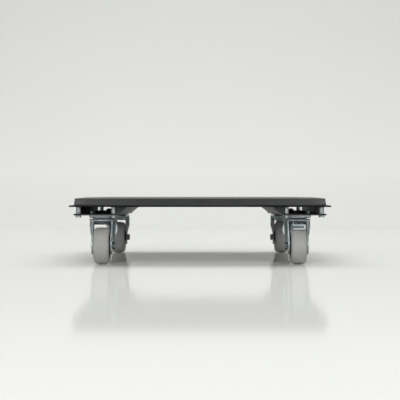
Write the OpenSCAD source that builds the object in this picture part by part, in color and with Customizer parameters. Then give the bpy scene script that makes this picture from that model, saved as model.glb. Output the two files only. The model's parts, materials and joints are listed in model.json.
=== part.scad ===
// Plant pot caddy: a shallow steel deck on two side rails and four swivel casters, two of them braked.
// Millimetres. Origin on the floor under the middle of the deck, X to the right, Y to the back, Z up.

/* [Deck] */
// Overall width over the flange, left to right
deck_w = 525; // [440:5:700]
// Overall depth over the flange, front to back
deck_d = 525; // [440:5:700]
// Height from the underside of the base plate to the flat top
deck_h = 19.5; // [16:0.5:40]
// Sheet thickness of the pan and of its base plate
deck_sheet = 1.5; // [1:0.1:2]
// Width of the flange outside the pan's wall
flange_w = 9.2; // [8:0.1:14]
// Width of the sloping border round the flat top
border_w = 26; // [15:1:40]
// Rise of the flat top above the pan's upper edge
crown_rise = 2.3; // [0.5:0.1:4]
// Radius between the flange and the wall
foot_r = 3.5; // [2:0.1:4]

/* [Rails] */
// Width of a rail's bottom plate
rail_w = 87; // [80:1:120]
// Distance from the flange's side edge in to the rail
rail_side_gap = 8.5; // [8:0.5:20]
// Distance from the flange's front or back edge in to the rail's end
rail_end_gap = 7.5; // [7:0.5:30]
// Sheet thickness of the rails
rail_sheet = 3; // [2:0.25:4]
// Length of the spacers between rail and base plate
spacer_len = 14; // [10:0.5:30]
// Outside diameter of the spacers
spacer_d = 10; // [9:0.5:12]
// Sideways run of the leaning inner flank
flank_run = 20.5; // [5:0.5:40]
// Distance from the rail's end to the end of its outer web
web_end_gap = 47; // [30:1:80]

/* [Casters] */
// Wheel diameter
wheel_d = 75; // [60:1:100]
// Tyre width
tyre_w = 32; // [26:0.5:40]
// Horizontal distance from swivel axis to axle
trail = 26; // [20:0.5:34]
// Height from the top of the wheel to the underside of the rail
head_room = 25; // [25:0.5:40]
// Distance from the flange's side edge to the swivel axis
swivel_side_gap = 62.5; // [58:0.5:68]
// Distance from the flange's front or back edge to the swivel axis
swivel_end_gap = 72; // [60:0.5:110]
// Sheet thickness of the fork's legs
leg_sheet = 2.5; // [2:0.1:3]
// Radius of the leg's end round the axle
leg_end_r = 17.5; // [12:0.5:20]

/* [Brakes] */
// Width of the pedal and shoe
brake_w = 24; // [20:1:26]
// Gap between shoe and tread as the lever lies
shoe_gap = 1; // [1:0.1:2]

/* [Hidden] */
$fn = 64;
eps = 0.01;

// Heights, from the floor up
wheel_r = wheel_d / 2;
rail_z = wheel_d + head_room;
rail_h = rail_sheet + spacer_len;
base_z = rail_z + rail_h;
pan_z = base_z + deck_sheet;
flange_top = pan_z + deck_sheet;
deck_top = base_z + deck_h;
edge_z = deck_top - crown_rise;

// Deck and rails in plan
deck_x = deck_w / 2;
deck_y = deck_d / 2;
wall_lean = 1.3;
edge_r = 1.2;
arc_steps = 6;
rail_out = deck_x - rail_side_gap;
rail_in = rail_out - rail_w;
rail_half = deck_y - rail_end_gap;
web_half = rail_half - web_end_gap;
web_inset = 1;
flank_t = rail_sheet * norm([flank_run, rail_h]) / rail_h;
gusset_gap = 0.4;

// Rail bolts, M6
bolt_r = 3;
bolt_hole_r = 3.2;
bolt_af = 10;
bolt_head_h = 4;
bolt_nut_h = 5;
bolt_out_x = rail_out - 9;
bolt_in_x = rail_in + spacer_d / 2 + 2;
bolt_y = rail_half - 9;

// Caster in plan, about its swivel axis
swivel_x = deck_x - swivel_side_gap;
swivel_y = deck_y - swivel_end_gap;
leg_in = tyre_w / 2 + 2.25;
leg_out = leg_in + leg_sheet;
crown_r = leg_in + 10.25;
skirt_r = leg_in + 2.25;
skirt_t = 3;
dish_r = crown_r - 4;
plate_half = crown_r - 1.5;
screw_at = plate_half - 5;

// Swivel bearing
plate_t = 3;
dish_z = rail_z - 7.5;
dish_floor = dish_z + 3;
crown_top = dish_z - 1.2;
crown_z = crown_top - 3;
crown_low = rail_z - 19.8;
upper_ball_r = 2.5;
upper_ring_r = dish_r - 7.5;
lower_ball_r = 2;
lower_ring_r = upper_ring_r - 5.5;
cup_r = lower_ring_r + 3.5;
cup_top = crown_z - 1.8;
cup_z = cup_top - 3.7;
groove_gap = 0.06;
ball_spacing = 3;
pin_r = 5;
pin_head_r = 8;
pin_head_h = 2.2;

// Caster screws, M5
screw_r = 2.5;
screw_hole_r = 2.75;
screw_af = 8;
screw_head_h = 3.2;
screw_nut_h = 4;

// Axle, M8, and the wheel on it
axle_r = 4;
axle_head_r = 7;
axle_head_h = 1.8;
axle_nut_af = 13;
axle_nut_h = 6;
sleeve_r = 6;
fit = 0.05;
hub_half = leg_in - 0.5;
core_r = wheel_r - 9.5;
rim_half = tyre_w / 2 - 2;

// Fork legs, seen from the side and from the front
leg_front_y = -(skirt_r - 1.5);
leg_back_y = 5;
leg_top = crown_z + 0.7;
bend_r = 3;
bend_inset = 0.2;
flare_top = wheel_r * 1.8;
flare_mid = wheel_r * 1.5;

// Brake lever
lever_pin_r = 1.3;
lever_pin_y = -(skirt_r - 0.5);
lever_pin_z = crown_low - 2.7;
barrel_r = 2.2;
tongue_w = 16;
lug_t = 2.2;
leaf_t = 2.2;
lip_t = 2.3;
shoe_angle = 121;
shoe_end = [-trail, wheel_r] + (wheel_r + shoe_gap + leaf_t) * [cos(shoe_angle), sin(shoe_angle)];

ends = ["front_left", "front_right", "rear_left", "rear_right"];

// ---- shared shapes ----

// points along an arc, ends included
function arc(c, r, from, to, steps) =
  [for (i = [0 : steps]) let (a = from + (to - from) * i / steps) c + r * [cos(a), sin(a)]];

// a right-hand outline closed by its own mirror image
function both_sides(pts) =
  concat(pts, [for (i = [len(pts) - 1 : -1 : 0]) [-pts[i][0], pts[i][1]]]);

// angle on a circle where a line from point p touches it, turn +1 or -1
function touch_angle(p, c, r, turn) =
  let (d = p - c) atan2(d[1], d[0]) + turn * acos(r / norm(d));

// a Y-Z outline drawn out along X
module along_x(length) {
  rotate([90, 0, 90]) linear_extrude(height = length, center = true) children();
}

// an X-Z outline drawn out along Y
module along_y(length) {
  rotate([90, 0, 0]) linear_extrude(height = length, center = true) children();
}

module hexagon(af, h) {
  cylinder(r = af / 2 / cos(30), h = h, $fn = 6);
}

module nut(af, h, r) {
  difference() {
    hexagon(af, h);
    translate([0, 0, -1]) cylinder(r = r + fit, h = h + 2);
  }
}

// side and end are -1 or 1; a caster is drawn about its swivel axis, trailing towards -Y
module at_caster(side, end) {
  translate([side * swivel_x, end * swivel_y, 0]) rotate([0, 0, end > 0 ? 180 : 0]) children();
}

module at_rail_bolts() {
  for (side = [-1, 1], end = [-1, 1], x = [bolt_in_x, bolt_out_x])
    translate([side * x, end * bolt_y, 0]) children();
}

module at_plate_corners() {
  for (x = [-screw_at, screw_at], y = [-screw_at, screw_at]) translate([x, y, 0]) children();
}

module at_every_caster_screw() {
  for (side = [-1, 1], end = [-1, 1]) at_caster(side, end) at_plate_corners() children();
}

// ---- deck ----

function wall_x(half) = half - flange_w;

function pan_outside(half) = both_sides(concat(
  [[half, pan_z], [half, flange_top]],
  arc([wall_x(half) + foot_r, flange_top + foot_r], foot_r, 270, 180, arc_steps),
  arc([wall_x(half) - wall_lean - edge_r, edge_z - edge_r], edge_r, 5, 85, arc_steps),
  [[wall_x(half) - wall_lean - border_w, deck_top]]
));

function pan_inside(half) = both_sides(concat(
  [[wall_x(half) + foot_r, pan_z - 1]],
  arc([wall_x(half) + foot_r, flange_top + foot_r], foot_r + deck_sheet, 270, 180, arc_steps),
  [[wall_x(half) - wall_lean - deck_sheet, edge_z - deck_sheet],
   [wall_x(half) - wall_lean - border_w, deck_top - deck_sheet]]
));

// two crossing profiles leave mitred corners
module deck_pan() {
  color([0.27, 0.29, 0.29]) difference() {
    intersection() {
      along_y(deck_d) polygon(pan_outside(deck_x));
      along_x(deck_w) polygon(pan_outside(deck_y));
    }
    intersection() {
      along_y(deck_d) polygon(pan_inside(deck_x));
      along_x(deck_w) polygon(pan_inside(deck_y));
    }
  }
}

module base_plate() {
  color([0.2, 0.21, 0.21]) difference() {
    translate([-deck_x, -deck_y, base_z]) cube([deck_w, deck_d, deck_sheet]);
    at_rail_bolts() translate([0, 0, base_z - 1]) cylinder(r = bolt_hole_r, h = deck_sheet + 2);
  }
}

// ---- rails ----

module rail_section() {
  polygon([
    [rail_in, rail_z],
    [rail_out, rail_z],
    [rail_out, rail_z + rail_sheet],
    [rail_in + flank_t - flank_run * rail_sheet / rail_h, rail_z + rail_sheet],
    [rail_in + flank_t - flank_run, base_z],
    [rail_in - flank_run, base_z]
  ]);
}

// the three-cornered plate that closes each end of the leaning flank
module gusset() {
  edge_x = bolt_in_x - spacer_d / 2 - gusset_gap;
  polygon([
    [rail_in + flank_t / 2 - flank_run, base_z],
    [edge_x, base_z],
    [edge_x, rail_z + rail_sheet / 2]
  ]);
}

module rail_body() {
  along_y(2 * rail_half) rail_section();
  along_y(2 * web_half) translate([rail_out - web_inset - rail_sheet, rail_z + rail_sheet / 2])
    square([rail_sheet, rail_h - rail_sheet / 2]);
  for (end = [-1, 1])
    translate([0, end * (rail_half - rail_sheet / 2), 0]) along_y(rail_sheet) gusset();
}

module rail(side) {
  color([0.25, 0.27, 0.27]) difference() {
    mirror([side < 0 ? 1 : 0, 0, 0]) rail_body();
    at_rail_bolts() translate([0, 0, rail_z - 1]) cylinder(r = bolt_hole_r, h = rail_sheet + 2);
    at_every_caster_screw() translate([0, 0, rail_z - 1])
      cylinder(r = screw_hole_r, h = rail_sheet + 2);
  }
}

module rail_spacers() {
  color([0.72, 0.75, 0.74]) at_rail_bolts() translate([0, 0, rail_z + rail_sheet]) difference() {
    cylinder(d = spacer_d, h = spacer_len);
    translate([0, 0, -1]) cylinder(r = bolt_hole_r, h = spacer_len + 2);
  }
}

module rail_bolts() {
  color([0.62, 0.65, 0.65]) at_rail_bolts() {
    translate([0, 0, rail_z - bolt_head_h]) hexagon(bolt_af, bolt_head_h);
    translate([0, 0, rail_z - 1])
      cylinder(r = bolt_r, h = 1 + rail_h + deck_sheet + bolt_nut_h + 1.5);
  }
}

module rail_nuts() {
  color([0.62, 0.65, 0.65]) at_rail_bolts() translate([0, 0, pan_z]) nut(bolt_af, bolt_nut_h, bolt_r);
}

module caster_screws() {
  color([0.62, 0.65, 0.65]) at_every_caster_screw() {
    translate([0, 0, rail_z - plate_t - screw_head_h]) hexagon(screw_af, screw_head_h);
    translate([0, 0, rail_z - plate_t - 1])
      cylinder(r = screw_r, h = 1 + plate_t + rail_sheet + screw_nut_h + 1.5);
  }
}

module caster_nuts() {
  color([0.62, 0.65, 0.65]) at_every_caster_screw() translate([0, 0, rail_z + rail_sheet])
    nut(screw_af, screw_nut_h, screw_r);
}

// ---- swivel head: plate, pin and cup stay with the deck ----

module ball_groove(ring, z, r) {
  rotate_extrude() translate([ring, z]) circle(r = r + groove_gap);
}

function upper_ball_z() = (dish_z + crown_top) / 2;
function lower_ball_z() = (crown_z + cup_top) / 2;

module top_plate() {
  corner = 5;
  inner = plate_half - corner;
  color([0.7, 0.75, 0.76]) difference() {
    union() {
      translate([0, 0, rail_z - plate_t]) linear_extrude(height = plate_t) polygon(concat(
        arc([inner, inner], corner, 0, 90, arc_steps),
        arc([-inner, inner], corner, 90, 180, arc_steps),
        arc([-inner, -inner], corner, 180, 270, arc_steps),
        arc([inner, -inner], corner, 270, 360, arc_steps)
      ));
      rotate_extrude() polygon([
        [0, dish_z],
        [dish_r - 2.2, dish_z],
        [dish_r - 0.9, dish_z + 1.1],
        [dish_r, rail_z - plate_t],
        [dish_r, rail_z - 1],
        [0, rail_z - 1]
      ]);
    }
    translate([0, 0, dish_floor])
      cylinder(r1 = dish_r - 4.3, r2 = dish_r - 2.9, h = rail_z - dish_floor + eps);
    translate([0, 0, dish_z - 1]) cylinder(r = pin_r + fit, h = 6);
    ball_groove(upper_ring_r, upper_ball_z(), upper_ball_r);
    at_plate_corners() translate([0, 0, rail_z - plate_t - 1])
      cylinder(r = screw_hole_r, h = plate_t + 2);
  }
}

module king_pin() {
  color([0.66, 0.7, 0.71]) union() {
    translate([0, 0, cup_z - pin_head_h]) cylinder(r = pin_head_r, h = pin_head_h);
    translate([0, 0, cup_z - 1]) cylinder(r = pin_r, h = dish_floor - cup_z + 2);
    translate([0, 0, dish_floor]) cylinder(r = pin_head_r, h = pin_head_h);
  }
}

module race_cup() {
  color([0.6, 0.64, 0.66]) difference() {
    translate([0, 0, cup_z]) cylinder(r1 = cup_r - 1.5, r2 = cup_r, h = cup_top - cup_z);
    translate([0, 0, cup_z - 1]) cylinder(r = pin_r + fit, h = 8);
    ball_groove(lower_ring_r, lower_ball_z(), lower_ball_r);
  }
}

// ---- fork: turns about the swivel axis ----

module ball_ring(ring, z, r) {
  count = floor(2 * PI * ring / (ball_spacing * r));
  for (i = [0 : count - 1]) rotate([0, 0, 360 * i / count]) translate([ring, 0, z]) sphere(r = r);
}

module balls() {
  color([0.8, 0.82, 0.84]) {
    ball_ring(upper_ring_r, upper_ball_z(), upper_ball_r);
    ball_ring(lower_ring_r, lower_ball_z(), lower_ball_r);
  }
}

module fork_crown() {
  difference() {
    rotate_extrude() polygon([
      [pin_r + 0.6, crown_z],
      [crown_r - 4.5, crown_z],
      [crown_r - 5.9, crown_z - 1.7],
      [skirt_r - skirt_t, crown_low + 1],
      [skirt_r - skirt_t, crown_low],
      [skirt_r, crown_low],
      [crown_r - 2.3, crown_z - 2.1],
      [crown_r, crown_z - 0.1],
      [crown_r, crown_top - 1.2],
      [crown_r - 1.2, crown_top],
      [pin_r + 0.6, crown_top]
    ]);
    ball_groove(upper_ring_r, upper_ball_z(), upper_ball_r);
    ball_groove(lower_ring_r, lower_ball_z(), lower_ball_r);
  }
}

// outline of a leg's flat web, seen from the side
module leg_web() {
  axle = [-trail, wheel_r];
  front = [leg_front_y, leg_top];
  back = [leg_back_y, leg_top];
  polygon(concat(
    [back, front],
    arc(axle, leg_end_r, touch_angle(front, axle, leg_end_r, 1),
        360 + touch_angle(back, axle, leg_end_r, -1), 4 * arc_steps)
  ));
}

// the strip that curls outwards along the back edge of the right-hand leg
module leg_flare() {
  axle = [-trail, wheel_r];
  back = [leg_back_y, leg_top];
  a = touch_angle(back, axle, leg_end_r, -1);
  foot = axle + leg_end_r * [cos(a), sin(a)];
  run = back - foot;
  edge_x = leg_out + bend_r;
  translate([0, foot[0], foot[1]]) rotate([-asin(run[0] / norm(run)), 0, 0])
    linear_extrude(height = norm(run)) {
      polygon(concat(
        [[edge_x - bend_r - leg_sheet + bend_inset, -2]],
        arc([edge_x, 0], bend_r + leg_sheet - bend_inset, 180, 90, arc_steps),
        [[crown_r + 1, bend_r + leg_sheet - bend_inset], [crown_r + 1, bend_r + bend_inset]],
        arc([edge_x, 0], bend_r + bend_inset, 90, 180, arc_steps),
        [[edge_x - bend_r - bend_inset, -2]]
      ));
    }
}

// outline of a leg seen from the front, wide at the crown and close at the axle
module leg_front() {
  polygon([
    [leg_in, 0],
    [leg_out, 0],
    [leg_out, wheel_r + 1],
    [crown_r - 3.5, flare_mid],
    [crown_r, flare_top],
    [crown_r, leg_top],
    [leg_in, leg_top]
  ]);
}

module fork_leg() {
  intersection() {
    union() {
      translate([(leg_in + leg_out) / 2, 0, 0]) along_x(leg_sheet) leg_web();
      leg_flare();
    }
    along_y(6 * wheel_r) leg_front();
  }
}

// ears under the crown that carry the brake's pin
module brake_lugs() {
  for (side = [-1, 1])
    translate([side * (tongue_w / 2 + 0.3 + lug_t / 2), 0, 0]) along_x(lug_t)
      translate([lever_pin_y - 2.4, lever_pin_z - 2.2]) square([6.4, 8.7]);
}

module fork(braked) {
  color([0.72, 0.77, 0.78]) difference() {
    union() {
      fork_crown();
      fork_leg();
      mirror([1, 0, 0]) fork_leg();
      if (braked) brake_lugs();
    }
    translate([0, -trail, wheel_r]) rotate([0, 90, 0])
      cylinder(r = axle_r + fit, h = 4 * leg_out, center = true);
    if (braked) translate([0, lever_pin_y, lever_pin_z]) rotate([0, 90, 0])
      cylinder(r = lever_pin_r + fit, h = tongue_w + 8, center = true);
  }
}

// out is 1 or -1, the side the bolt's head is on
module axle_bolt(out) {
  color([0.66, 0.7, 0.71]) translate([0, -trail, wheel_r]) rotate([0, 90 * out, 0]) {
    translate([0, 0, leg_out]) cylinder(r1 = axle_head_r, r2 = axle_head_r - 1, h = axle_head_h);
    translate([0, 0, -leg_out - axle_nut_h - 0.6])
      cylinder(r = axle_r, h = 2 * leg_out + axle_nut_h + 1.6);
  }
}

module axle_nut(out) {
  color([0.66, 0.7, 0.71]) translate([0, -trail, wheel_r]) rotate([0, -90 * out, 0])
    translate([0, 0, leg_out]) nut(axle_nut_af, axle_nut_h, axle_r);
}

module axle_sleeve() {
  color([0.6, 0.63, 0.64]) translate([0, -trail, wheel_r]) rotate([0, 90, 0]) difference() {
    cylinder(r = sleeve_r, h = 2 * leg_in, center = true);
    cylinder(r = axle_r + fit, h = 2 * leg_in + 2, center = true);
  }
}

// ---- wheel: turns about the axle ----

module turned_on_axle() {
  translate([0, -trail, wheel_r]) rotate([0, 90, 0]) rotate_extrude() children();
}

module wheel_core() {
  bore = sleeve_r + fit;
  web_half_t = 3;
  color([0.42, 0.43, 0.43]) turned_on_axle() polygon([
    [bore, -hub_half],
    [bore + 4.5, -hub_half],
    [bore + 5.5, -web_half_t],
    [core_r - 6, -web_half_t],
    [core_r - 5, -rim_half],
    [core_r, -rim_half],
    [core_r, rim_half],
    [core_r - 5, rim_half],
    [core_r - 6, web_half_t],
    [bore + 5.5, web_half_t],
    [bore + 4.5, hub_half],
    [bore, hub_half]
  ]);
}

// half of the tyre's section, as radius and distance from its middle
function tyre_half() =
  let (
    half = tyre_w / 2,
    shoulder = half * 0.42,
    flat = half - shoulder,
    crown_drop = 0.8,
    shoulder_drop = 6.5,
    low = wheel_r - crown_drop - shoulder_drop
  )
  concat(
    [[core_r, rim_half], [core_r + 2, half], [low, half]],
    [for (i = [1 : 2 * arc_steps]) let (a = 90 * i / (2 * arc_steps))
      [low + shoulder_drop * sin(a), flat + shoulder * cos(a)]],
    [for (i = [1 : 4]) let (x = flat * (4 - i) / 4) [wheel_r - crown_drop * pow(x / flat, 2), x]]
  );

module tyre() {
  half = tyre_half();
  color([0.74, 0.74, 0.72]) turned_on_axle()
    polygon(concat(half, [for (i = [len(half) - 2 : -1 : 0]) [half[i][0], -half[i][1]]]));
}

// ---- brake: turns about a pin under the crown ----

module brake_pin() {
  grip = tongue_w / 2 + 0.3 + lug_t;
  color([0.66, 0.7, 0.71]) translate([0, lever_pin_y, lever_pin_z]) rotate([0, 90, 0]) {
    cylinder(r = lever_pin_r, h = 2 * grip + 2, center = true);
    for (end = [-1, 1])
      translate([0, 0, end * (grip + 0.5)]) cylinder(r = lever_pin_r + 0.8, h = 1, center = true);
  }
}

// pedal leaf above, shoe leaf round the tread below, a barrel at the back and a lip on each leaf
module lever_leaves() {
  shoe_r = wheel_r + shoe_gap;
  lip_y = shoe_end[0] - 1.5;
  along_x(brake_w) translate([lever_pin_y, lever_pin_z]) circle(r = barrel_r);
  along_x(brake_w) translate([lip_y + 1, lever_pin_z - 0.3])
    square([lever_pin_y - lip_y - 1, leaf_t]);
  along_x(brake_w) translate([lip_y, lever_pin_z + 0.4]) square([lip_t, 3.6]);
  along_x(brake_w) translate([lip_y, shoe_end[1] - 1.8]) square([lip_t, 4.4]);
  along_x(brake_w) polygon(concat(
    arc([-trail, wheel_r], shoe_r, 88, shoe_angle, 2 * arc_steps),
    arc([-trail, wheel_r], shoe_r + leaf_t, shoe_angle, 88, 2 * arc_steps)
  ));
}

module brake_lever() {
  neck_y = lever_pin_y - 7;
  front_y = shoe_end[0] - 10;
  color([0.74, 0.79, 0.8]) difference() {
    intersection() {
      union() lever_leaves();
      linear_extrude(height = rail_z) polygon([
        [-tongue_w / 2, lever_pin_y + 10],
        [tongue_w / 2, lever_pin_y + 10],
        [tongue_w / 2, neck_y],
        [brake_w / 2, neck_y - 4],
        [brake_w / 2, front_y],
        [-brake_w / 2, front_y],
        [-brake_w / 2, neck_y - 4],
        [-tongue_w / 2, neck_y]
      ]);
    }
    translate([0, lever_pin_y, lever_pin_z]) rotate([0, 90, 0])
      cylinder(r = lever_pin_r + fit, h = brake_w, center = true);
  }
}

// ---- every node ----

deck_pan();
base_plate();
rail(-1);  // rail_left
rail(1);  // rail_right
rail_spacers();
rail_bolts();
rail_nuts();
caster_screws();
caster_nuts();
at_caster(-1, -1) top_plate();  // top_plate_front_left
at_caster(1, -1) top_plate();  // top_plate_front_right
at_caster(-1, 1) top_plate();  // top_plate_rear_left
at_caster(1, 1) top_plate();  // top_plate_rear_right
at_caster(-1, -1) king_pin();  // king_pin_front_left
at_caster(1, -1) king_pin();  // king_pin_front_right
at_caster(-1, 1) king_pin();  // king_pin_rear_left
at_caster(1, 1) king_pin();  // king_pin_rear_right
at_caster(-1, -1) race_cup();  // race_cup_front_left
at_caster(1, -1) race_cup();  // race_cup_front_right
at_caster(-1, 1) race_cup();  // race_cup_rear_left
at_caster(1, 1) race_cup();  // race_cup_rear_right
at_caster(-1, -1) balls();  // balls_front_left
at_caster(1, -1) balls();  // balls_front_right
at_caster(-1, 1) balls();  // balls_rear_left
at_caster(1, 1) balls();  // balls_rear_right
at_caster(-1, -1) fork(false);  // fork_front_left
at_caster(1, -1) fork(true);  // fork_front_right
at_caster(-1, 1) fork(false);  // fork_rear_left
at_caster(1, 1) fork(true);  // fork_rear_right
at_caster(-1, -1) axle_bolt(-1);  // axle_bolt_front_left
at_caster(1, -1) axle_bolt(1);  // axle_bolt_front_right
at_caster(-1, 1) axle_bolt(1);  // axle_bolt_rear_left
at_caster(1, 1) axle_bolt(-1);  // axle_bolt_rear_right
at_caster(-1, -1) axle_nut(-1);  // axle_nut_front_left
at_caster(1, -1) axle_nut(1);  // axle_nut_front_right
at_caster(-1, 1) axle_nut(1);  // axle_nut_rear_left
at_caster(1, 1) axle_nut(-1);  // axle_nut_rear_right
at_caster(-1, -1) axle_sleeve();  // axle_sleeve_front_left
at_caster(1, -1) axle_sleeve();  // axle_sleeve_front_right
at_caster(-1, 1) axle_sleeve();  // axle_sleeve_rear_left
at_caster(1, 1) axle_sleeve();  // axle_sleeve_rear_right
at_caster(-1, -1) wheel_core();  // wheel_core_front_left
at_caster(1, -1) wheel_core();  // wheel_core_front_right
at_caster(-1, 1) wheel_core();  // wheel_core_rear_left
at_caster(1, 1) wheel_core();  // wheel_core_rear_right
at_caster(-1, -1) tyre();  // tyre_front_left
at_caster(1, -1) tyre();  // tyre_front_right
at_caster(-1, 1) tyre();  // tyre_rear_left
at_caster(1, 1) tyre();  // tyre_rear_right
at_caster(1, -1) brake_pin();  // brake_pin_front_right
at_caster(1, -1) brake_lever();  // brake_lever_front_right
at_caster(1, 1) brake_pin();  // brake_pin_rear_right
at_caster(1, 1) brake_lever();  // brake_lever_rear_right
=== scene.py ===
import bpy, bmesh, json, math
import numpy as np
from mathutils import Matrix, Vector


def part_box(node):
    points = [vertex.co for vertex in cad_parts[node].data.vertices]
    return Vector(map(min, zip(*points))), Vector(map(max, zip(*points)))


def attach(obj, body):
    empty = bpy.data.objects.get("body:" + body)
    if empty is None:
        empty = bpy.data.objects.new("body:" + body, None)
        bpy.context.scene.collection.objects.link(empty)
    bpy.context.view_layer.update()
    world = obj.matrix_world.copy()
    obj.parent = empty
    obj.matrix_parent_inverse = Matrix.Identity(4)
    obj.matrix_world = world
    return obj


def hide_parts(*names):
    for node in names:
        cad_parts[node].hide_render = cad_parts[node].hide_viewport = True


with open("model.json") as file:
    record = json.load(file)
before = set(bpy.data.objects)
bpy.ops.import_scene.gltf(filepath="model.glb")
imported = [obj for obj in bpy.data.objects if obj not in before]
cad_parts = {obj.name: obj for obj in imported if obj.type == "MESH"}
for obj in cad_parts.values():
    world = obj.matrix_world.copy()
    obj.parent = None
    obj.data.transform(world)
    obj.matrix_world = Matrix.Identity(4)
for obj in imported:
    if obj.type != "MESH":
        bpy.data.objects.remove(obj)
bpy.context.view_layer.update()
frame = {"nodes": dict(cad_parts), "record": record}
nodes = frame["nodes"]
print("frame loaded,", len(nodes), "nodes")

corners = ("front_left", "front_right", "rear_left", "rear_right")
bodyOf = {n: b for b, members in frame["record"]["behaviour"]["bodies"].items() for n in members}


# Puts a grid of points (rows, columns, xyz) into a mesh. Quad i,j joins grid points (i,j), (i+1,j),
# (i+1,j+1) and (i,j+1). Rows and columns close on themselves where asked, and a flat lid covers the
# first and the last row where asked.
def gridMesh(name, grid, closeRows=False, closeCols=True, lids=False, sharpAngle=32):
    rows, cols = grid.shape[:2]
    i, j = np.meshgrid(np.arange(rows if closeRows else rows - 1),
                       np.arange(cols if closeCols else cols - 1), indexing="ij")
    i2, j2 = (i + 1) % rows, (j + 1) % cols
    quads = np.stack([i * cols + j, i2 * cols + j, i2 * cols + j2, i * cols + j2], -1).reshape(-1, 4)
    faces = quads.tolist()
    if lids:
        faces += [list(range(cols))[::-1], list(range((rows - 1) * cols, rows * cols))]
    mesh = bpy.data.meshes.new(name)
    mesh.from_pydata(grid.reshape(-1, 3).tolist(), [], faces)
    return dressMesh(name, mesh, sharpAngle)


weldDistance = 1e-6


# Welds close points, turns faces outwards and smooths everything flatter than sharpAngle.
def dressMesh(name, mesh, sharpAngle, turnOut=True):
    bm = bmesh.new()
    bm.from_mesh(mesh)
    bmesh.ops.remove_doubles(bm, verts=bm.verts, dist=weldDistance)
    if turnOut:
        bmesh.ops.recalc_face_normals(bm, faces=bm.faces)
    bm.to_mesh(mesh)
    bm.free()
    mesh.polygons.foreach_set("use_smooth", np.ones(len(mesh.polygons), bool))
    mesh.set_sharp_from_angle(angle=math.radians(sharpAngle))
    mesh.update()
    piece = bpy.data.objects.new(name, mesh)
    bpy.context.scene.collection.objects.link(piece)
    return piece


# A closed outline of (radius, distance along the axle) turned about a line along X through centre:
# point = centre + (along, radius cos a, radius sin a).
def turnedAboutX(name, outline, centre, steps=128):
    a = np.linspace(0, 2 * np.pi, steps, endpoint=False)
    r, along = outline[:, 0][:, None], outline[:, 1][:, None]
    grid = np.stack([centre[0] + along + 0 * a, centre[1] + r * np.cos(a), centre[2] + r * np.sin(a)], -1)
    return gridMesh(name, grid, closeRows=True)


# The same about a line along Z: point = centre + (radius cos a, radius sin a, along).
def turnedAboutZ(name, outline, centre, steps=48):
    a = np.linspace(0, 2 * np.pi, steps, endpoint=False)
    r, along = outline[:, 0][:, None], outline[:, 1][:, None]
    grid = np.stack([centre[0] + r * np.cos(a), centre[1] + r * np.sin(a), centre[2] + along + 0 * a], -1)
    return gridMesh(name, grid, closeRows=True)


copyLook = dict(sharpAngle=28, bevelSteps=2, bevelFrom=50)


# A merged, smooth-shaded copy of a CAD node, standing for it; bevel rounds its sharp edges.
def finishedCopy(node, body, material, bevel=0.0, look=copyLook):
    piece = dressMesh(node + "_finish", nodes[node].data.copy(), look["sharpAngle"], turnOut=False)
    piece.data.materials.clear()
    piece.data.materials.append(material)
    if bevel:
        mod = piece.modifiers.new("edge", "BEVEL")
        mod.width, mod.segments = bevel, look["bevelSteps"]
        mod.limit_method, mod.angle_limit = "ANGLE", math.radians(look["bevelFrom"])
        mod.harden_normals = True
    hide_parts(node)
    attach(piece, body)
    return piece


class Finish:
    # A Principled material with small node helpers; everything is read in Object coordinates.
    def __init__(self, name, **sockets):
        self.mat = bpy.data.materials.new(name)
        self.mat.use_nodes = True
        self.tree = self.mat.node_tree
        self.shader = self.tree.nodes["Principled BSDF"]
        for key, value in sockets.items():
            self.shader.inputs[key.replace("_", " ")].default_value = value
        self.coords = self.tree.nodes.new("ShaderNodeTexCoord").outputs["Object"]

    def add(self, kind, **values):
        node = self.tree.nodes.new(kind)
        for key, value in values.items():
            setattr(node, key, value)
        return node

    def link(self, a, b):
        self.tree.links.new(a, b)

    def noise(self, scale, detail=3.0, rough=0.5, stretch=(1, 1, 1)):
        place = self.add("ShaderNodeMapping")
        place.inputs["Scale"].default_value = stretch
        self.link(self.coords, place.inputs["Vector"])
        tex = self.add("ShaderNodeTexNoise")
        tex.inputs["Scale"].default_value = scale
        tex.inputs["Detail"].default_value = detail
        tex.inputs["Roughness"].default_value = rough
        self.link(place.outputs["Vector"], tex.inputs["Vector"])
        return tex.outputs["Fac"]

    def spread(self, value, low, high, fromLow=0.15, fromHigh=0.85):
        node = self.add("ShaderNodeMapRange")
        for key, v in (("From Min", fromLow), ("From Max", fromHigh), ("To Min", low), ("To Max", high)):
            node.inputs[key].default_value = v
        self.link(value, node.inputs["Value"])
        return node.outputs["Result"]

    def ramp(self, value, stops):
        node = self.add("ShaderNodeValToRGB")
        while len(node.color_ramp.elements) < len(stops):
            node.color_ramp.elements.new(0.5)
        for e, (at, colour) in zip(node.color_ramp.elements, stops):
            e.position, e.color = at, (*colour, 1)
        self.link(value, node.inputs["Fac"])
        return node.outputs["Color"]

    def mix(self, fac, a, b):
        node = self.add("ShaderNodeMix", data_type="RGBA")
        for key, v in (("Factor", fac), ("A", a), ("B", b)):
            socket = [s for s in node.inputs if s.name == key and s.enabled][0]
            if isinstance(v, bpy.types.NodeSocket):
                self.link(v, socket)
            else:
                socket.default_value = v
        return [s for s in node.outputs if s.enabled][0]

    def bump(self, layers):
        normal = None
        for height, strength, distance in layers:
            node = self.add("ShaderNodeBump")
            node.inputs["Strength"].default_value = strength
            node.inputs["Distance"].default_value = distance
            self.link(height, node.inputs["Height"])
            if normal:
                self.link(normal, node.inputs["Normal"])
            normal = node.outputs["Normal"]
        self.link(normal, self.shader.inputs["Normal"])

    def set(self, colour=None, roughness=None):
        if colour:
            self.link(colour, self.shader.inputs["Base Color"])
        if roughness:
            self.link(roughness, self.shader.inputs["Roughness"])
        return self.mat


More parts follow.
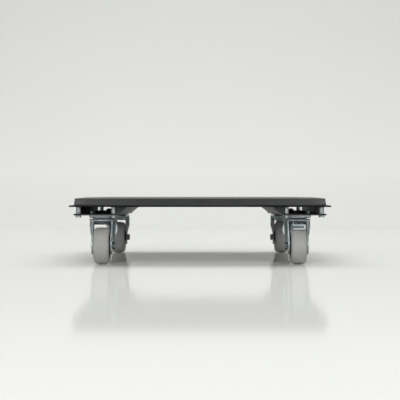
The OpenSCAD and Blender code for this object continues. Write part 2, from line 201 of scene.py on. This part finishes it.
# Noise scales are in waves a metre, bump depths in metres.
powderCoatLook = dict(dark=(0.009, 0.0115, 0.0108), light=(0.015, 0.0185, 0.0175),
                      dust=(0.06, 0.064, 0.062), cloud=9, peel=420, grain=1500, speck=2600, worn=26,
                      grainStrength=0.22, peelDepth=0.00012, grainDepth=0.00006,
                      roughLow=0.29, roughHigh=0.38, shine=0.42)


def powderCoat(name, look):
    f = Finish(name, Metallic=0.0, IOR=1.52)
    cloud, grain, peel = f.noise(look["cloud"], 4), f.noise(look["grain"], 2), f.noise(look["peel"], 2)
    speck = f.noise(look["speck"], 1)
    base = f.ramp(cloud, [(0.3, look["dark"]), (0.72, look["light"])])
    base = f.mix(f.spread(speck, 0, 0.25, 0.6, 0.85), base, (*look["dust"], 1))
    f.shader.inputs["Specular IOR Level"].default_value = look["shine"]
    f.bump([(peel, look["grainStrength"], look["peelDepth"]),
            (grain, look["grainStrength"], look["grainDepth"])])
    return f.set(base, f.spread(f.noise(look["worn"], 2), look["roughLow"], look["roughHigh"]))


zincLook = dict(pale=(0.45, 0.50, 0.505), blue=(0.36, 0.415, 0.43), dull=(0.29, 0.325, 0.33),
                roughLow=0.3, roughHigh=0.5, spangle=170, patch=38, fine=900, drawn=260,
                drawnDepth=0.00008, fineDepth=0.00004)


def zincPlate(name, look, metallic=0.9):
    f = Finish(name, Metallic=metallic)
    spangle = f.add("ShaderNodeTexVoronoi")
    spangle.inputs["Scale"].default_value = look["spangle"]
    f.link(f.coords, spangle.inputs["Vector"])
    patch, fine = f.noise(look["patch"], 4), f.noise(look["fine"], 3)
    drawn = f.noise(look["drawn"], 3, stretch=(1, 1, 0.08))
    base = f.ramp(patch, [(0.3, look["blue"]), (0.66, look["pale"])])
    base = f.mix(f.spread(spangle.outputs["Distance"], 0.0, 0.18, 0.1, 0.7), base, (*look["dull"], 1))
    f.bump([(drawn, 0.08, look["drawnDepth"]), (fine, 0.12, look["fineDepth"])])
    return f.set(base, f.spread(patch, look["roughHigh"], look["roughLow"]))


rubberLook = dict(pale=(0.36, 0.36, 0.345), shade=(0.30, 0.30, 0.29), scuff=(0.2, 0.2, 0.195),
                  cloud=45, grain=1100, scuffs=190, worn=50, scuffDepth=0.0001, grainDepth=0.00006,
                  roughLow=0.6, roughHigh=0.82)


def treadRubber(name, look):
    f = Finish(name, Metallic=0.0, IOR=1.45)
    f.shader.inputs["Sheen Weight"].default_value = 0.15
    f.shader.inputs["Sheen Roughness"].default_value = 0.5
    cloud, grain = f.noise(look["cloud"], 4), f.noise(look["grain"], 3)
    scuff = f.noise(look["scuffs"], 5, 0.65, (0.35, 1, 1))
    base = f.ramp(cloud, [(0.3, look["shade"]), (0.7, look["pale"])])
    base = f.mix(f.spread(scuff, 0, 0.35, 0.6, 0.78), base, (*look["scuff"], 1))
    f.bump([(scuff, 0.15, look["scuffDepth"]), (grain, 0.25, look["grainDepth"])])
    return f.set(base, f.spread(f.noise(look["worn"], 2), look["roughLow"], look["roughHigh"]))


coreLook = dict(dark=(0.09, 0.093, 0.093), light=(0.13, 0.134, 0.134), cloud=30, grain=1600, worn=70,
                grainDepth=0.00006, roughLow=0.45, roughHigh=0.62)


def mouldedPlastic(name, look):
    f = Finish(name, Metallic=0.0, IOR=1.49)
    cloud, grain = f.noise(look["cloud"], 3), f.noise(look["grain"], 2)
    f.bump([(grain, 0.3, look["grainDepth"])])
    return f.set(f.ramp(cloud, [(0.3, look["dark"]), (0.7, look["light"])]),
                 f.spread(f.noise(look["worn"], 3), look["roughLow"], look["roughHigh"]))


ballLook = dict(dark=(0.62, 0.62, 0.6), light=(0.75, 0.76, 0.77), film=300, grain=1200,
                grainDepth=0.00003, roughLow=0.12, roughHigh=0.26)


def ballSteel(name, look):
    f = Finish(name, Metallic=1.0)
    film = f.noise(look["film"], 3)
    f.bump([(f.noise(look["grain"], 2), 0.05, look["grainDepth"])])
    return f.set(f.ramp(film, [(0.3, look["dark"]), (0.7, look["light"])]),
                 f.spread(film, look["roughLow"], look["roughHigh"]))


panPaint = powderCoat("anthracitePowderCoat", powderCoatLook)
railPaint = powderCoat("railPowderCoat", dict(powderCoatLook, shine=0.25, roughLow=0.42, roughHigh=0.55))
# painted shade: a darker, matter copy of the powder coat stands in for the shade that falls on the base plate
# and on the pan's flange edge
shadedEdgePaint = powderCoat("basePlatePaintedShadeCoat",
                       dict(powderCoatLook, dark=(0.004, 0.0045, 0.0042), light=(0.007, 0.008, 0.0076),
                            dust=(0.02, 0.021, 0.02), shine=0.08, roughLow=0.55, roughHigh=0.7))
zinc = zincPlate("brightZinc", zincLook)
boltZinc = zincPlate("fastenerZinc", dict(zincLook, pale=(0.29, 0.32, 0.32), blue=(0.24, 0.265, 0.27),
                                          spangle=420))
nutZinc = zincPlate("darkNutZinc", dict(zincLook, pale=(0.16, 0.175, 0.18), blue=(0.11, 0.12, 0.125),
                                      dull=(0.08, 0.085, 0.09), spangle=420))
# painted shade: a darker copy of the bright zinc stands in for the shade on the brake lever
shadedLeverZinc = zincPlate("brakeLeverShadedZinc", dict(zincLook, pale=(0.34, 0.38, 0.385), blue=(0.28, 0.32, 0.33)))
spacerZinc = zincPlate("spacerZinc", dict(zincLook, pale=(0.38, 0.415, 0.405), blue=(0.33, 0.36, 0.355),
                                          roughLow=0.4, roughHigh=0.58), metallic=0.55)
rubber = treadRubber("paleTreadRubber", rubberLook)
plastic = mouldedPlastic("corePlastic", coreLook)
steelBalls = ballSteel("bearingSteel", ballLook)
print("materials made")


deckLook = dict(flangeWidth=0.0092, wallLean=0.0013, footRadius=0.0035, edgeRadius=0.0012, border=0.026,
                crownRise=0.0023, sheet=0.0015, lipRadius=0.0003, lipInset=0.0002,
                flangeCorner=0.0012, wallCorner=0.0022, topCorner=0.006,
                innerFlangeCorner=0.0008, innerWallCorner=0.0012, innerTopCorner=0.005,
                sharpAngle=38, paintStep=0.0001)


# The pan is a stack of rounded rectangles. At each station along the profile the half sizes shrink by
# the inset, and point = corner centre + radius (cos a, sin a), with a running once round. Straight
# sides are points shared out evenly between two corner arcs.
def stackedRings(insets, heights, radii, halfX, halfY, cornerSteps=8, sideSteps=24):
    quarter = np.linspace(0, np.pi / 2, cornerSteps + 1)
    rows = []
    hx, hy = halfX - insets, halfY - insets
    signs = ((1, 1, 0), (-1, 1, 1), (-1, -1, 2), (1, -1, 3))
    arcs = [np.stack([sx * (hx - radii)[:, None] + radii[:, None] * np.cos(quarter + k * np.pi / 2),
                      sy * (hy - radii)[:, None] + radii[:, None] * np.sin(quarter + k * np.pi / 2)], -1)
            for sx, sy, k in signs]
    for k in range(4):
        rows.append(arcs[k])
        t = np.linspace(0, 1, sideSteps + 1)[1:-1][None, :, None]
        rows.append(arcs[k][:, -1:] * (1 - t) + arcs[(k + 1) % 4][:, :1] * t)
    flat = np.concatenate(rows, 1)
    z = np.broadcast_to(heights[:, None, None], flat.shape[:2] + (1,))
    return np.concatenate([flat, z], -1)


# The profile runs from the flange's lip over a quarter circle at the wall's foot (inset = flange -
# radius + radius sin a), up the leaning wall, round the rim's quarter circle and over the border.
def makeDeckPan(look):
    low, high = [np.array(v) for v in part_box("deck_pan")]
    halfX, halfY = (high - low)[0] / 2, (high - low)[1] / 2
    z0, top, s = low[2], high[2], look["sheet"]
    f, e, fr, lr = look["flangeWidth"], look["edgeRadius"], look["footRadius"], look["lipRadius"]
    z1, edgeZ = z0 + s, top - look["crownRise"]
    foot = np.linspace(0, np.pi / 2, 9)
    lip = np.linspace(0, np.pi / 2, 4)
    rim = np.linspace(np.radians(5), np.radians(85), 7)
    wallIn = f + look["wallLean"]
    slope = np.linspace(0, 1, 12)[1:]
    outIn = np.concatenate([[look["lipInset"]], lr * (1 - np.cos(lip)), f - fr + fr * np.sin(foot),
                            wallIn + e - e * np.cos(rim), wallIn + e + (look["border"] - e) * slope])
    # the border rises as a gentle curve: rise * (1.25 t - 0.25 t^5)
    rise = look["crownRise"] * (1.25 * slope - 0.25 * slope ** 5)
    outZ = np.concatenate([[z0], z1 - lr + lr * np.sin(lip), z1 + fr - fr * np.cos(foot),
                           edgeZ - e + e * np.sin(rim), edgeZ + rise])
    inIn = np.concatenate([[wallIn + look["border"]], [wallIn + s], (f - fr) + (fr + s) * np.sin(foot[::-1])])
    inZ = np.concatenate([[top - s], [edgeZ - s], z1 + fr - (fr + s) * np.cos(foot[::-1])])
    stations = [0, f, wallIn + look["border"]]
    outR = np.interp(outIn, stations, [look["flangeCorner"], look["wallCorner"], look["topCorner"]])
    inR = np.interp(inIn, stations,
                    [look["innerFlangeCorner"], look["innerWallCorner"], look["innerTopCorner"]])
    outer = stackedRings(outIn, outZ, outR, halfX, halfY)
    inner = stackedRings(inIn, inZ, inR, halfX, halfY)
    # one closed skin: outer plateau down to the flange, under it, and up inside to the inner plateau
    pan = gridMesh("deck_pan_skin", np.concatenate([outer[::-1], inner[::-1]]), lids=True,
                   sharpAngle=look["sharpAngle"])
    pan.data.materials.append(panPaint)
    # painted shade: faces of the flange and below it take the darker coat, standing in for the shade there
    pan.data.materials.append(shadedEdgePaint)   # the flange and everything under it
    middle = np.zeros(len(pan.data.polygons) * 3)
    pan.data.polygons.foreach_get("center", middle)
    under = (middle[2::3] < z1 + look["paintStep"]).astype(np.int32)
    pan.data.polygons.foreach_set("material_index", under)
    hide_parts("deck_pan")
    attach(pan, bodyOf["deck_pan"])


makeDeckPan(deckLook)
# painted shade: the base plate takes the darker coat, standing in for the shade under the deck
finishedCopy("base_plate", "deck", shadedEdgePaint)
railLook = dict(bevel=0.0004)
for side in ("left", "right"):
    finishedCopy("rail_" + side, "deck", railPaint, bevel=railLook["bevel"])
print("deck and rails made")


spacerLook = dict(radius=0.005, bore=0.0032, chamfer=0.0006, soften=0.3, innerInset=0.08)


# Each spacer is a chamfered tube turned about Z: bore, up the chamfered outside, back to the bore.
def makeSpacers(look):
    low, high = [np.array(v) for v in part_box("rail_spacers")]
    r, b, c, h = look["radius"], look["bore"], look["chamfer"], high[2] - low[2]
    k = c * look["soften"]
    outline = np.array([[b, 0], [r - c, 0], [r - k, k], [r, c], [r, h - c], [r - k, h - k],
                        [r - c, h], [b, h]])
    xOut, yEnd = high[0] - r, high[1] - r
    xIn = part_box("rail_right")[1][0] - look["innerInset"]
    for s, side in ((-1, "left"), (1, "right")):
        for e, end in ((-1, "front"), (1, "rear")):
            for x, place in ((xIn, "inner"), (xOut, "outer")):
                name = "spacer_%s_%s_%s" % (end, side, place)
                tube = turnedAboutZ(name, outline, (s * x, e * yEnd, low[2]))
                tube.data.materials.append(spacerZinc)
                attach(tube, "deck")
                if (s, e, place) == (-1, -1, "inner"):
                    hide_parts("rail_spacers")


makeSpacers(spacerLook)
fastenerLook = dict(rail_bolts=boltZinc, rail_nuts=boltZinc, caster_screws=boltZinc, caster_nuts=nutZinc)
fastenerBevel = 0.0003
for node, material in fastenerLook.items():
    finishedCopy(node, "deck", material, bevel=fastenerBevel)
print("spacers and fasteners made")


tyreLook = dict(crown=0.0008, shoulder=0.42, shoulderDrop=0.0065, sideDish=0.0005, inner=0.028,
                rimStep=0.001, rimTuck=0.0012, innerInset=0.0024)


# A closed outline turned about the axle. Tread: radius = full radius - crown (along / flat)^2.
# Shoulder: a quarter ellipse. Side wall: a straight fall to the rim, dished by a shallow sine.
def makeTyre(corner, look):
    node = "tyre_" + corner
    low, high = [np.array(v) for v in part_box(node)]
    centre, half, r = (low + high) / 2, (high - low)[0] / 2, (high - low)[2] / 2
    flat = half * (1 - look["shoulder"])
    across = np.linspace(-flat, flat, 25)
    tread = np.stack([r - look["crown"] * (across / flat) ** 2, across], -1)
    a = np.linspace(0, np.pi / 2, 15)[1:]
    rs = r - look["crown"] - look["shoulderDrop"]
    shoulder = np.stack([rs + look["shoulderDrop"] * np.cos(a), flat + (half - flat) * np.sin(a)], -1)
    t = np.linspace(0, 1, 9)[1:]
    wall = np.stack([rs + (look["inner"] + look["rimStep"] - rs) * t,
                     half - look["sideDish"] * np.sin(np.pi * t) - look["rimTuck"] * t ** 4], -1)
    side = np.concatenate([shoulder, wall, [[look["inner"], half - look["innerInset"]]]])
    other = side[::-1] * [1, -1]
    tyre = turnedAboutX("tyre_skin_" + corner, np.concatenate([tread, side, other]), centre)
    tyre.data.materials.append(rubber)
    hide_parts(node)
    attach(tyre, bodyOf[node])


# kind of node, its material, and the bevel on its sharp edges
casterFinish = (("top_plate", zinc, 0.0003), ("fork", zinc, 0.0), ("axle_bolt", boltZinc, 0.0),
                ("axle_nut", nutZinc, 0.0004), ("king_pin", boltZinc, 0.0), ("race_cup", zinc, 0.0),
                ("axle_sleeve", boltZinc, 0.0),
                ("wheel_core", plastic, 0.0), ("balls", steelBalls, 0.0),
                # painted shade: the brake lever takes the darker copy of the zinc
                ("brake_pin", boltZinc, 0.0), ("brake_lever", shadedLeverZinc, 0.0004))

for corner in corners:
    makeTyre(corner, tyreLook)
    for kind, material, bevel in casterFinish:
        node = kind + "_" + corner
        if node in nodes:
            finishedCopy(node, bodyOf[node], material, bevel)
print("casters made")


roomLook = dict(floor=(0.80, 0.81, 0.785), wallDistance=1.9, halfWidth=7.0, near=-5.0, bend=1.2,
                height=4.5, clouds=1.5, cloudDepth=0.985, blur=0.08, gloss=0.36,
                glossFrom=0.001, glossTo=0.25)


# Floor and back wall in one sheet: a flat run, a quarter circle of the bend's radius, then straight up.
def makeRoom(look):
    a = np.linspace(0, np.pi / 2, 25)
    d, b = look["wallDistance"], look["bend"]
    y = np.concatenate([np.linspace(look["near"], d, 12), d + b * np.sin(a), [d + b]])
    z = np.concatenate([np.zeros(12), b - b * np.cos(a), [look["height"]]])
    x = np.linspace(-look["halfWidth"], look["halfWidth"], 15)
    grid = np.stack([x[None, :] + 0 * y[:, None], y[:, None] + 0 * x[None, :],
                     z[:, None] + 0 * x[None, :]], -1)
    room = gridMesh("pale_room", grid, closeCols=False, sharpAngle=60)
    f, c = Finish("paleFloor"), look["floor"]
    matt, gloss, both = [f.add("ShaderNode" + kind) for kind in ("BsdfDiffuse", "BsdfGlossy", "MixShader")]
    shaded = tuple(v * look["cloudDepth"] for v in c)
    f.link(f.ramp(f.noise(look["clouds"], 3), [(0.3, shaded), (0.7, c)]), matt.inputs["Color"])
    gloss.inputs["Roughness"].default_value = look["blur"]
    height = f.add("ShaderNodeSeparateXYZ")
    f.link(f.coords, height.inputs[0])
    # gloss fades with height, so the wall is matt
    fade = f.spread(height.outputs["Z"], look["gloss"], 0.0, look["glossFrom"], look["glossTo"])
    f.link(fade, both.inputs["Fac"])
    for source, socket in ((matt.outputs[0], both.inputs[1]), (gloss.outputs[0], both.inputs[2]),
                           (both.outputs[0], f.tree.nodes["Material Output"].inputs["Surface"])):
        f.link(source, socket)
    room.data.materials.append(f.mat)
    if room.data.polygons[0].normal.z < 0:
        room.data.flip_normals()


makeRoom(roomLook)

# name, place, size in metres, power in watts
lampLook = (("leftSoftbox", (-0.9, -2.2, 0.5), (0.5, 0.8), 11),
            ("rightSoftbox", (0.9, -2.2, 0.5), (0.5, 0.8), 11),
            ("frontTopSoftbox", (0, -3.6, 3.1), (3.0, 1.6), 56),
            ("overheadSoftbox", (0, 1.1, 3.0), (5.6, 3.0), 112))
lampAim = (0, 0, 0.06)
for name, place, size, power in lampLook:
    lamp = bpy.data.lights.new(name, "AREA")
    lamp.shape, lamp.size, lamp.size_y, lamp.energy = "RECTANGLE", size[0], size[1], power
    holder = bpy.data.objects.new(name, lamp)
    holder.location = place
    aim = np.array(lampAim) - np.array(place)
    holder.rotation_euler = Vector(aim).to_track_quat("-Z", "Y").to_euler()
    bpy.context.scene.collection.objects.link(holder)

worldLook = dict(colour=(1.0, 1.0, 0.985, 1), strength=0.21)
world = bpy.data.worlds.new("studio")
world.use_nodes = True
sky = world.node_tree.nodes["Background"]
sky.inputs["Color"].default_value = worldLook["colour"]
sky.inputs["Strength"].default_value = worldLook["strength"]
bpy.context.scene.world = world

cameraLook = dict(place=(0, -2.322, 0.141), lens=92.7, sensor=36, shiftY=-0.0125, farthest=60)
lens = bpy.data.cameras.new("camera")
lens.lens, lens.sensor_width = cameraLook["lens"], cameraLook["sensor"]
lens.shift_y, lens.clip_end = cameraLook["shiftY"], cameraLook["farthest"]
camera = bpy.data.objects.new("camera", lens)
camera.location, camera.rotation_euler = cameraLook["place"], (math.pi / 2, 0, 0)
bpy.context.scene.collection.objects.link(camera)
bpy.context.scene.camera = camera
bpy.context.scene.view_settings.view_transform = "Standard"   # the pale room stays pale
print("room, lights and camera set")
